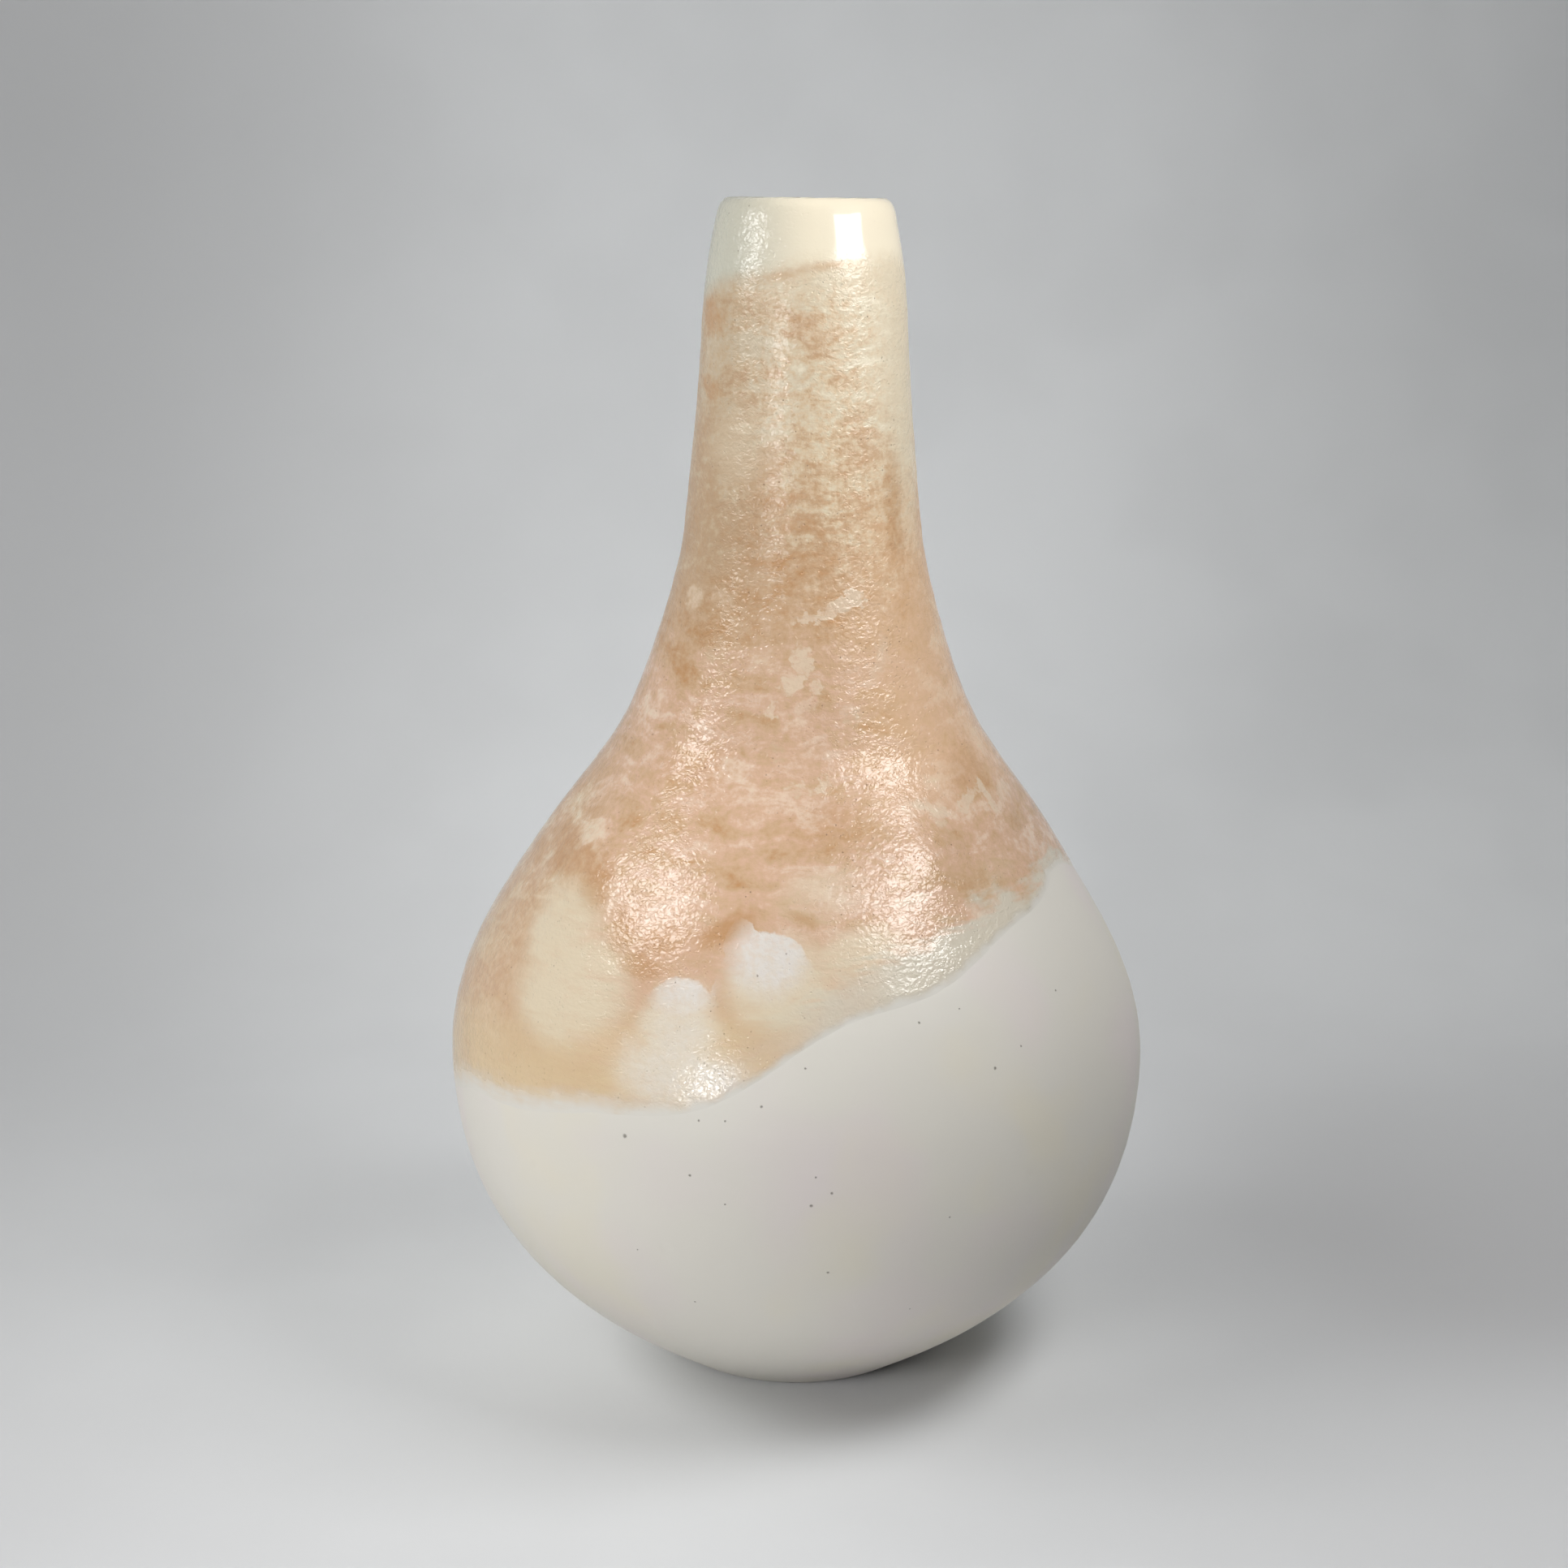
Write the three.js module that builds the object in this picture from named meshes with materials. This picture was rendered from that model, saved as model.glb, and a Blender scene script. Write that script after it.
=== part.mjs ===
import * as THREE from 'three';
import { ParametricGeometry } from 'three/addons/geometries/ParametricGeometry.js';

// Wheel-thrown bottle vase in white stoneware, dipped in glaze from the rim down to a slanted line.
// Millimetres, +Z up, standing on the foot ring at Z = 0, with its front towards -Y.

// Outline of the bare clay, measured outside. A slope is in degrees from upright, outwards positive.
// A fullness is how far the wall keeps running straight before it bends to the next station.
const OVERALL_HEIGHT = 200;
const FOOT_RADIUS = 21.4;
const FOOT_SLOPE = 55.3;
const FOOT_FULLNESS = 15.3;
const BELLY_RADIUS = 60;
const BELLY_HEIGHT = 54.6;
const BELLY_FULLNESS_BELOW = 33.6;
const BELLY_FULLNESS_ABOVE = 20.2;
const SHOULDER_RADIUS = 31.3;
const SHOULDER_HEIGHT = 110;
const SHOULDER_SLOPE = -33.4;
const SHOULDER_FULLNESS_BELOW = 25.6;
const SHOULDER_FULLNESS_ABOVE = 10.9;
const NECK_RADIUS = 19.5;
const NECK_HEIGHT = 144;
const NECK_SLOPE = -6.8;
const NECK_FULLNESS_BELOW = 5.3;
const NECK_FULLNESS_ABOVE = 38;
const MOUTH_RADIUS = 14.1;
const MOUTH_SLOPE = -12;
const MOUTH_FULLNESS = 15.4;
const LIP_ROUNDING = 2.6;

// Walls, floor and trimmed foot
const BELLY_WALL = 4.5;
const NECK_WALL = 3.5;
const LIP_WALL = 3.2;
const FLOOR_TOP = 7;
const FLOOR_FILLET = 8;
const RECESS_DEPTH = 2;
const RECESS_DRAFT = 1.5;
const FOOT_RING_WIDTH = 5;
const FOOT_EDGE_ROUNDING = 1.5;

// Glaze coats
const GLAZE_THICKNESS = 0.45;
const GLAZE_CLEARANCE = 0.3;
const LINER_THICKNESS = 0.4;
const MOUTH_COAT_DEPTH = 10;
const COAT_JOINT_GAP = 0.3;

// Edge of the outer coat: the slanted level that the pot was dipped to, with the waves of its run
const DIP_HEIGHT = 72;
const DIP_SLANT = 20.3;
const DIP_WAVES = [
  { count: 3, height: 1.7, crestAngle: 50 },
  { count: 6, height: 1.3, crestAngle: 8 },
  { count: 10, height: 0.9, crestAngle: 5 },
];

// Facets of each stretch
const SEGMENTS = 40;
const FOOT_STEPS = 8;
const BELLY_STEPS = 12;
const SHOULDER_STEPS = 4;
const NECK_STEPS = 5;
const LIP_STEPS = 3;
const FILLET_STEPS = 2;
const EDGE_STEPS = 2;

// Share of a quarter ellipse's radius that its Bezier handles take
const QUARTER_HANDLE = 0.5523;

const vector = (x, y) => new THREE.Vector2(x, y);

function direction(slope) {
  const angle = THREE.MathUtils.degToRad(slope);
  return vector(Math.sin(angle), Math.cos(angle));
}

function outwards(slope) {
  const along = direction(slope);
  return vector(along.y, -along.x);
}

function stretch(start, startSlope, startFullness, end, endSlope, endFullness) {
  const startHandle = start.clone().addScaledVector(direction(startSlope), startFullness);
  const endHandle = end.clone().addScaledVector(direction(endSlope), -endFullness);
  return new THREE.CubicBezierCurve(start, startHandle, endHandle, end);
}

// A path's points moved square to it, to the outer side of the clay where distance is positive
function offsetPath(path, distanceAt) {
  return path.map((point, i) => {
    const before = path[Math.max(i - 1, 0)];
    const after = path[Math.min(i + 1, path.length - 1)];
    const along = after.clone().sub(before).normalize();
    const distance = distanceAt(point);
    return vector(point.x + along.y * distance, point.y - along.x * distance);
  });
}

// Point at a fractional place along a path, on the smooth curve through its points
function pointAlong(path, place) {
  return new THREE.SplineCurve(path).getPoint(place / (path.length - 1));
}

// Outside of the clay, from the foot's rounded edge up to the mouth
const foot = vector(FOOT_RADIUS, 0);
const belly = vector(BELLY_RADIUS, BELLY_HEIGHT);
const shoulder = vector(SHOULDER_RADIUS, SHOULDER_HEIGHT);
const neck = vector(NECK_RADIUS, NECK_HEIGHT);
const lipTop = OVERALL_HEIGHT - GLAZE_CLEARANCE - GLAZE_THICKNESS;
const mouth = vector(MOUTH_RADIUS, lipTop - LIP_ROUNDING);

function outsidePath() {
  const toBelly = stretch(foot, FOOT_SLOPE, FOOT_FULLNESS, belly, 0, BELLY_FULLNESS_BELOW);
  const toShoulder = stretch(
    belly, 0, BELLY_FULLNESS_ABOVE, shoulder, SHOULDER_SLOPE, SHOULDER_FULLNESS_BELOW,
  );
  const toNeck = stretch(
    shoulder, SHOULDER_SLOPE, SHOULDER_FULLNESS_ABOVE, neck, NECK_SLOPE, NECK_FULLNESS_BELOW,
  );
  const toMouth = stretch(neck, NECK_SLOPE, NECK_FULLNESS_ABOVE, mouth, MOUTH_SLOPE, MOUTH_FULLNESS);
  const edgeEnd = foot.clone().addScaledVector(direction(FOOT_SLOPE), FOOT_EDGE_ROUNDING);
  return [
    edgeEnd,
    ...toBelly.getPoints(FOOT_STEPS).slice(1),
    ...toShoulder.getPoints(BELLY_STEPS).slice(1),
    ...toNeck.getPoints(SHOULDER_STEPS).slice(1),
    ...toMouth.getPoints(NECK_STEPS).slice(1),
  ];
}

// Round lip, from the outside of the mouth over the top to its inside
function lipPath() {
  const inner = mouth.clone().addScaledVector(outwards(MOUTH_SLOPE), -LIP_WALL);
  const top = vector((mouth.x + inner.x) / 2, lipTop);
  const halfWidth = (mouth.x - inner.x) / 2;
  const rise = direction(MOUTH_SLOPE);
  const outerQuarter = new THREE.CubicBezierCurve(
    mouth,
    mouth.clone().addScaledVector(rise, (top.y - mouth.y) * QUARTER_HANDLE),
    vector(top.x + halfWidth * QUARTER_HANDLE, top.y),
    top,
  );
  const innerQuarter = new THREE.CubicBezierCurve(
    top,
    vector(top.x - halfWidth * QUARTER_HANDLE, top.y),
    inner.clone().addScaledVector(rise, (top.y - inner.y) * QUARTER_HANDLE),
    inner,
  );
  return [
    ...outerQuarter.getPoints(LIP_STEPS).slice(1),
    ...innerQuarter.getPoints(LIP_STEPS).slice(1),
  ];
}

// Thickness of the thrown wall, which thins from the belly through the neck to the lip
function wallAt(point) {
  if (point.y < NECK_HEIGHT) {
    const share = Math.max(point.y - BELLY_HEIGHT, 0) / (NECK_HEIGHT - BELLY_HEIGHT);
    return THREE.MathUtils.lerp(BELLY_WALL, NECK_WALL, share);
  }
  const share = (point.y - NECK_HEIGHT) / (mouth.y - NECK_HEIGHT);
  return THREE.MathUtils.lerp(NECK_WALL, LIP_WALL, share);
}

// Inside of the clay, from below the lip down the wall and round the fillet to the floor's centre
function insidePath(outside) {
  const wall = offsetPath(outside, (point) => -wallAt(point)).reverse().slice(1);
  const filletTop = FLOOR_TOP + FLOOR_FILLET;
  const below = wall.findIndex((point) => point.y < filletTop);
  const above = wall[below - 1];
  const share = (above.y - filletTop) / (above.y - wall[below].y);
  const filletStart = above.clone().lerp(wall[below], share);
  const run = wall[below].clone().sub(above);
  const corner = filletStart.clone().addScaledVector(run, (FLOOR_TOP - filletTop) / run.y);
  const filletEnd = vector(corner.x - corner.distanceTo(filletStart), FLOOR_TOP);
  const fillet = new THREE.QuadraticBezierCurve(filletStart, corner, filletEnd);
  return [
    ...wall.slice(0, below),
    ...fillet.getPoints(FILLET_STEPS),
    vector(0, FLOOR_TOP),
  ];
}

// Underside, from the recess's centre down to the foot ring and round the foot's outer edge
function undersidePath() {
  const ringOuter = FOOT_RADIUS - FOOT_EDGE_ROUNDING;
  const ringInner = ringOuter - FOOT_RING_WIDTH;
  const edgeEnd = foot.clone().addScaledVector(direction(FOOT_SLOPE), FOOT_EDGE_ROUNDING);
  const edge = new THREE.QuadraticBezierCurve(vector(ringOuter, 0), foot, edgeEnd);
  return [
    vector(0, RECESS_DEPTH),
    vector(ringInner - RECESS_DRAFT, RECESS_DEPTH),
    vector(ringInner, 0),
    ...edge.getPoints(EDGE_STEPS).slice(0, -1),
  ];
}

const outside = outsidePath();
const surface = [...outside, ...lipPath(), ...insidePath(outside)];
const lipPlace = outside.length - 1 + LIP_STEPS;

// Turns a closed half section, given as radius and height, into a solid of revolution about Z
function turned(section) {
  return new THREE.LatheGeometry(section, SEGMENTS).rotateX(Math.PI / 2);
}

// Place on the inside wall at a height
function insidePlaceAt(height) {
  let place = lipPlace;
  while (surface[place + 1].y > height) {
    place += 1;
  }
  return place + (surface[place].y - height) / (surface[place].y - surface[place + 1].y);
}

// Level of the dip line at an angle from the front, towards +X, on a wall of that radius
function dipLevel(angle, radius) {
  const slant = radius * Math.sin(angle) * Math.tan(THREE.MathUtils.degToRad(DIP_SLANT));
  const waves = DIP_WAVES.reduce((sum, wave) => {
    const crest = THREE.MathUtils.degToRad(wave.crestAngle);
    return sum + wave.height * Math.cos(wave.count * (angle - crest));
  }, 0);
  return DIP_HEIGHT + slant + waves;
}

// Place on the outside wall where the dip line crosses it
function dipPlaceAt(angle) {
  const rise = (i) => surface[i].y - dipLevel(angle, surface[i].x);
  let i = 1;
  while (rise(i) < 0) {
    i += 1;
  }
  return i - rise(i) / (rise(i) - rise(i - 1));
}

function clayBody() {
  return turned([...undersidePath(), ...surface]);
}

// Coat that waterproofs the inside, from under the mouth coat down the wall and across the floor
function linerGlaze() {
  const start = insidePlaceAt(lipTop - MOUTH_COAT_DEPTH - COAT_JOINT_GAP);
  const covered = [pointAlong(surface, start), ...surface.slice(Math.floor(start) + 1)];
  const claySide = offsetPath(covered, () => GLAZE_CLEARANCE);
  const bareSide = offsetPath(covered, () => GLAZE_CLEARANCE + LINER_THICKNESS);
  return turned([...claySide.reverse(), ...bareSide]);
}

// Coat that the dipped pot carries out of the glaze: a strip of the wall's own section, which at
// every angle starts on the dip line, runs up over the lip and ends inside the mouth
function outerGlaze() {
  const claySide = offsetPath(surface, () => GLAZE_CLEARANCE);
  const bareSide = offsetPath(surface, () => GLAZE_CLEARANCE + GLAZE_THICKNESS);
  const end = insidePlaceAt(lipTop - MOUTH_COAT_DEPTH);
  const angleOf = (segment) => (2 * Math.PI * (segment % SEGMENTS)) / SEGMENTS;
  const starts = Array.from({ length: SEGMENTS }, (_, segment) => dipPlaceAt(angleOf(segment)));
  const firstLevelRow = Math.ceil(Math.max(...starts)) + 1;
  const lowest = Math.floor(Math.min(...starts));
  const slantedRows = firstLevelRow - lowest;
  const levelRows = Math.floor(end) - firstLevelRow;
  const rows = slantedRows + levelRows + 1;

  const placeOfRow = (row, start) => {
    if (row < slantedRows) {
      return THREE.MathUtils.lerp(start, firstLevelRow, row / slantedRows);
    }
    return row < rows ? lowest + row : end;
  };

  const loopSteps = 2 * rows + 2;
  const strip = (u, v, target) => {
    const segment = Math.round(u * SEGMENTS) % SEGMENTS;
    const step = Math.round(v * loopSteps) % loopSteps;
    const onBareSide = step <= rows;
    const row = onBareSide ? step : loopSteps - 1 - step;
    const side = onBareSide ? bareSide : claySide;
    const point = pointAlong(side, placeOfRow(row, starts[segment]));
    const angle = angleOf(segment);
    target.set(point.x * Math.sin(angle), -point.x * Math.cos(angle), point.y);
  };
  return new ParametricGeometry(strip, SEGMENTS, loopSteps);
}

function piece(name, geometry, color, roughness) {
  const material = new THREE.MeshStandardMaterial({ color, roughness, metalness: 0 });
  material.name = name;
  const mesh = new THREE.Mesh(geometry, material);
  mesh.name = name;
  return mesh;
}

const vase = new THREE.Group();
vase.name = 'clay_vase';
vase.add(
  piece('clay_body', clayBody(), 0xdedbd4, 0.62),
  piece('outer_glaze', outerGlaze(), 0xd9ae8c, 0.28),
  piece('liner_glaze', linerGlaze(), 0xe0ded2, 0.3),
);

export default vase;
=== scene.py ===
# Bottle vase in white stoneware with a dipped peach glaze, on a pale paper sweep. Metres, +Z up.

import math
from bisect import bisect_right
from functools import reduce

import bmesh
import bpy
from mathutils import Matrix, Vector, noise
from mathutils.geometry import interpolate_bezier


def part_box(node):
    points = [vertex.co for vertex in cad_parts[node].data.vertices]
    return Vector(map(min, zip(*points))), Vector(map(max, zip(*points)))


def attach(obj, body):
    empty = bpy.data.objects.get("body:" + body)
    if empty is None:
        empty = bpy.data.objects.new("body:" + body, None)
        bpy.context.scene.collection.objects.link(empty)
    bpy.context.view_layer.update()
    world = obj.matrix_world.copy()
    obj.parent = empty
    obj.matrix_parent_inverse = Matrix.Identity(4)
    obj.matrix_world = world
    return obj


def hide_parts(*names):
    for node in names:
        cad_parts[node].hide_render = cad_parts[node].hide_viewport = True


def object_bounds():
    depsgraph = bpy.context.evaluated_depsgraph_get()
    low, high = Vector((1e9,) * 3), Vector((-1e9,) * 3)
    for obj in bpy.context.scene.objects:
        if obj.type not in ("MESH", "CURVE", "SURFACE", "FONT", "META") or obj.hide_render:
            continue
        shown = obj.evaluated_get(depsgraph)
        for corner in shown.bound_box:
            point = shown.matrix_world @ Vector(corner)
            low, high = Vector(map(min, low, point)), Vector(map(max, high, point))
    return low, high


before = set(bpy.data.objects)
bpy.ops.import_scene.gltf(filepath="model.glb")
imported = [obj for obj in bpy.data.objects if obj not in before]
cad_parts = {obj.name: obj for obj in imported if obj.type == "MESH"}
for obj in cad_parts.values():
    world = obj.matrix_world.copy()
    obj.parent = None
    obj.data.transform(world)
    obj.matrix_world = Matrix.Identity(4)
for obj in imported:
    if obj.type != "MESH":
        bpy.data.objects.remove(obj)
cad_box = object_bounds()

bl_info = {
    "name": "Dipped bottle vase",
    "version": (1, 0, 0),
    "blender": (4, 5, 0),
    "location": "View3D > Sidebar > Vase",
    "description": "Builds a thrown bottle vase with a dipped glaze, and the studio to show it in",
    "category": "Add Mesh",
}

MM = 0.001
PHOTO_SIDE = 1932
SENSOR_WIDTH = 36.0


# Properties

def number(name, description, default, **settings):
    return bpy.props.FloatProperty(name=name, description=description, default=default, **settings)


def length(name, description, default):
    return number(name, description, default, unit="LENGTH", precision=5)


def angle(name, description, degrees):
    return number(name, description, math.radians(degrees), subtype="ANGLE")


def colour(name, description, red, green, blue):
    return bpy.props.FloatVectorProperty(
        name=name, description=description, size=3, subtype="COLOR_GAMMA",
        min=0.0, max=1.0, default=(red / 255, green / 255, blue / 255),
    )


class VaseOutline(bpy.types.PropertyGroup):
    """Outline of the bare clay, its walls and its foot."""

    height: length("Height", "Top of the glazed lip", cad_box[1][2])
    foot_radius: length("Foot radius", "Outer radius of the foot", 0.0214)
    foot_slope: angle("Foot slope", "Slope from upright at the foot", 55.3)
    foot_fullness: length("Foot fullness", "Straight run above the foot", 0.0153)
    belly_radius: length("Belly radius", "Widest radius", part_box("clay_body")[1].x)
    belly_height: length("Belly height", "Height of the widest place", 0.0546)
    belly_fullness_below: length("Fullness below", "Upright run below the belly", 0.0336)
    belly_fullness_above: length("Fullness above", "Upright run above the belly", 0.0202)
    shoulder_radius: length("Shoulder radius", "Radius where the shoulder turns", 0.0313)
    shoulder_height: length("Shoulder height", "Height where the shoulder turns", 0.110)
    shoulder_slope: angle("Shoulder slope", "Slope from upright at the shoulder", -33.4)
    shoulder_fullness_below: length("Shoulder run below", "Straight run below the turn", 0.0256)
    shoulder_fullness_above: length("Shoulder run above", "Straight run above the turn", 0.0109)
    neck_radius: length("Neck radius", "Radius at the bottom of the neck", 0.0195)
    neck_height: length("Neck height", "Height of the bottom of the neck", 0.144)
    neck_slope: angle("Neck slope", "Slope from upright there", -6.8)
    neck_fullness_below: length("Neck run below", "Straight run below the neck", 0.0053)
    neck_fullness_above: length("Neck run above", "Straight run up the neck", 0.038)
    mouth_radius: length("Mouth radius", "Outer radius under the lip", 0.0141)
    mouth_slope: angle("Mouth slope", "Slope from upright under the lip", -12.0)
    mouth_fullness: length("Mouth run", "Straight run below the lip", 0.0154)
    lip_rounding: length("Lip rounding", "Height of the lip's round", 0.0026)
    belly_wall: length("Belly wall", "Thickness at the belly", 0.0045)
    neck_wall: length("Neck wall", "Thickness at the neck", 0.0035)
    lip_wall: length("Lip wall", "Thickness at the lip", 0.0032)
    floor_top: length("Floor top", "Height of the floor inside", 0.007)
    floor_fillet: length("Floor fillet", "Height of its round to the wall", 0.008)
    recess_depth: length("Recess depth", "Depth of the recess in the foot", 0.002)
    recess_round: length("Recess round", "Rounding in the recess's corner", 0.0012)
    ring_width: length("Ring width", "Width of the foot ring's flat", 0.005)
    foot_edge: length("Foot edge", "Rounding of the foot's outer edge", 0.0015)


class VaseGlaze(bpy.types.PropertyGroup):
    """The two coats: the dipped outer glaze and the liner."""

    stand_off: length("Stand-off", "Height of the outer glaze above the clay", 0.00075)
    sink: length("Sink", "How deep the coats are let into the clay", 0.00012)
    edge: length("Edge", "Height of the glaze at its lower edge", 0.00005)
    edge_width: length("Edge width", "Width of its rounded edge", 0.0024)
    feather: length("Feather", "Width over which it thickens above it", 0.030)
    mouth_depth: length("Depth in mouth", "How far it runs down inside", 0.0105)
    liner_stand_off: length("Liner stand-off", "Height of the liner above the clay", 0.0007)
    dip_height: length("Dip height", "Height of the dip line on the axis", 0.0709)
    dip_slant: angle("Dip slant", "Slant of the dip line, up towards +X", 20.3)
    rim_band: length("Rim band", "Height where the rim's pale band ends", 0.1862)
    rim_slant: angle("Rim slant", "Slant of the rim band's lower line", 14.5)
    rim_turn: angle("Rim turn", "Direction in which that line is highest", 35.0)
    celadon: colour("Celadon", "Thick pale glaze, slightly green", 212, 207, 191)
    # Jade and ivory: the rim band is greener and darker on its left and warmer and lighter on its right,
    # partly its own tint and partly painted shade and painted light.
    jade_and_shade: colour("Jade", "Greenish side of the rim's pale band", 203, 201, 185)
    ivory_and_light: colour("Ivory", "Warm side of the rim's pale band", 240, 229, 205)
    cream: colour("Cream", "Pale glaze with a little iron", 224, 210, 184)
    honey: colour("Honey", "Thin glaze over the lower left", 216, 192, 155)
    sand: colour("Sand", "Pale glaze of the neck", 220, 197, 165)
    blossom: colour("Blossom", "Pale pinkish grains of the shoulder", 226, 200, 177)
    tan: colour("Tan", "Granular glaze of the neck", 203, 170, 136)
    peach: colour("Peach", "Pinkish glaze of the shoulder", 213, 177, 150)
    # Partly the glaze's colour and partly painted light: a lighter tone over the right of the shoulder
    # and neck.
    apricot_and_light: colour("Apricot", "Bright glaze along the right", 236, 198, 161)
    # Painted shade: a dull tone that darkens the left of the neck, where less light falls.
    neck_left_shade: colour("Dusk", "Dull glaze along the left of the neck", 180, 157, 129)
    ember: colour("Ember", "Richest orange tan", 190, 146, 102)
    milk: colour("Milk", "Opaque white where the slip shows", 226, 219, 211)
    pinhole: colour("Pinhole", "Iron pinholes", 110, 82, 62)


class VaseClay(bpy.types.PropertyGroup):
    """The bare clay's finish."""

    body: colour("Body", "Bare white stoneware", 218, 214, 205)
    blush: colour("Blush", "Faint pink and lilac flashing", 219, 211, 207)
    straw: colour("Straw", "Faint warm flashing under the glaze", 221, 215, 199)
    speck: colour("Speck", "Iron specks", 92, 84, 72)


class VaseStudio(bpy.types.PropertyGroup):
    """Camera, lamps and paper."""

    camera_x: length("Camera X", "Camera's place to the side", -0.0027)
    camera_distance: length("Camera distance", "Distance in front of the axis", 0.430)
    camera_height: length("Camera height", "Height of the camera", 0.200)
    camera_tilt: angle("Camera tilt", "How far the camera looks down", 12.91)
    camera_roll: angle("Camera roll", "Camera's roll", 0.59)
    focal_pixels: number("Focal pixels", "Focal length in pixels of the photograph", 3156.0)
    paper: colour("Paper", "Colour of the paper behind the vase", 239, 241, 242)
    # Painted shade on the paper: the side tone darkens it far to the left and also makes its mottle, and
    # the front tone darkens it in front and to the right.
    paper_shade_and_mottle: colour("Paper sides", "Its colour far out to the left", 197, 198, 199)
    paper_painted_shade: colour("Paper front", "Its colour in front and to the right", 190, 190, 191)
    sweep_start: length("Sweep start", "Where the paper rises behind the axis", 0.14)
    sweep_radius: length("Sweep radius", "Radius of the paper's bend", 0.22)
    lamp_level: number("Lamp level", "Factor on the soft lamps' power", 1.01)
    window_level: number("Window level", "Factor on the reflected lamps' power", 1.0)
    room_level: number("Room level", "Strength of the room's even light", 0.02)
    room: colour("Room", "Its colour past the paper", 186, 188, 189)


# The soft boxes, seen from a point on the axis: turn from the front towards +X and rise above the
# horizon in degrees, distance, width and height in metres, power in watts. LAMPS give the light, and
# back_wall comes through the paper with one corner. Only the gloss shows the REFLECTED ones
LAMP_AIM = 0.10
LAMPS = {
    "left_soft": (-70, 41, 0.92, 0.60, 0.36, 2.45),
    "left_wall": (-100, 30, 0.90, 0.60, 0.60, 1.95),
    "right_soft": (61, 48, 0.28, 0.196, 0.10, 0.57),
    "front_low": (-30, 9, 0.40, 0.144, 0.112, 0.60),
    "back_wall": (-150, 50, 0.80, 0.60, 0.60, 1.45),
}
REFLECTED = {
    "left_window": (-65, 35, 0.257, 0.082, 0.056, 0.150),
    "right_window": (54, 40, 0.236, 0.118, 0.054, 0.215),
    "doorway": (-26, 4.5, 0.765, 0.15, 0.09, 1.15),
}

# The paper: half its width, its reach in front of the axis, its top, and its bend's steps
PAPER_HALF_WIDTH = 1.1
PAPER_FRONT = 0.9
PAPER_TOP = 1.4
BEND_STEPS = 24

# How finely the outline is divided, and how far above the foot's edge its next point is
STRETCH_STEPS = (70, 70, 42, 56)
LIP_STEPS = 8
FILLET_STEPS = 12
FLOOR_STEPS = 10
RECESS_STEPS = 8
RING_STEPS = 4
EDGE_STEPS = 5
CLOSE = 0.0002

# Segments round the pot and round its liner, and the outer coat's rows on its open and hidden side
SEGMENTS = 288
LINER_SEGMENTS = 128
OUTER_ROWS = 250
HIDDEN_ROWS = 36

# The clay takes every so many points of the outline, and all of the last ones, on its floor
OUTSIDE_STRIDE = 2
INSIDE_STRIDE = 5
FLOOR_POINTS = 30

# The outer coat's end in the mouth: the length over which it thins, and how far it lies under the
# liner's face. How much deeper its hidden side is let in, how uneven its face is, and how far the
# liner laps over its end
TAIL = 0.0025
TUCK = 0.0001
BURY = 0.0003
UNEVEN = 0.05 * MM
UNEVEN_SIZE = 4.5 * MM
LINER_LAP = 0.0015


# Outline curves, as lists of (radius, height) vectors

def heading(slope):
    return Vector((math.sin(slope), math.cos(slope)))


def segment(values, value):
    """Which gap of a rising list a value falls in."""
    return min(max(bisect_right(values, value) - 1, 0), len(values) - 2)


def stretch(start, start_slope, start_run, end, end_slope, end_run, steps):
    start_handle = start + heading(start_slope) * start_run
    end_handle = end - heading(end_slope) * end_run
    return interpolate_bezier(start, start_handle, end_handle, end, steps + 1)[1:]


def quarter(start, start_heading, end, end_heading, steps):
    handle = 0.5523
    first = start + start_heading * handle
    second = end - end_heading * handle
    return interpolate_bezier(start, first, second, end, steps + 1)[1:]


def edge_end(o):
    return Vector((o.foot_radius, 0.0)) + heading(o.foot_slope) * o.foot_edge


def outside_points(o, lip_top):
    """Knots of radius, height, slope and straight runs below and above, joined by curves."""
    knots = [
        (o.foot_radius, 0.0, o.foot_slope, 0.0, o.foot_fullness),
        (o.belly_radius, o.belly_height, 0.0, o.belly_fullness_below, o.belly_fullness_above),
        (
            o.shoulder_radius, o.shoulder_height, o.shoulder_slope,
            o.shoulder_fullness_below, o.shoulder_fullness_above,
        ),
        (o.neck_radius, o.neck_height, o.neck_slope, o.neck_fullness_below, o.neck_fullness_above),
        (o.mouth_radius, lip_top - o.lip_rounding, o.mouth_slope, o.mouth_fullness, 0.0),
    ]
    points = []
    for low, high, steps in zip(knots, knots[1:], STRETCH_STEPS):
        start = Vector(low[:2])
        points += stretch(start, low[2], low[4], Vector(high[:2]), high[2], high[3], steps)
    start = edge_end(o)
    return [start] + [point for point in points if point.y > start.y + CLOSE]


def lip_points(o, lip_top):
    outward = Vector((math.cos(o.mouth_slope), -math.sin(o.mouth_slope)))
    mouth = Vector((o.mouth_radius, lip_top - o.lip_rounding))
    inner = mouth - outward * o.lip_wall
    top = Vector(((mouth.x + inner.x) / 2, lip_top))
    half = Vector((-(mouth.x - inner.x) / 2, 0.0))
    rise = heading(o.mouth_slope)
    points = quarter(mouth, rise * (top.y - mouth.y), top, half, LIP_STEPS)
    points += quarter(top, half, inner, -rise * (top.y - inner.y), LIP_STEPS)
    return points


def wall_at(o, lip_top, height):
    mouth_height = lip_top - o.lip_rounding
    if height < o.neck_height:
        share = max(height - o.belly_height, 0.0) / (o.neck_height - o.belly_height)
        return o.belly_wall + (o.neck_wall - o.belly_wall) * share
    share = (height - o.neck_height) / (mouth_height - o.neck_height)
    return o.neck_wall + (o.lip_wall - o.neck_wall) * share


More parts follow.
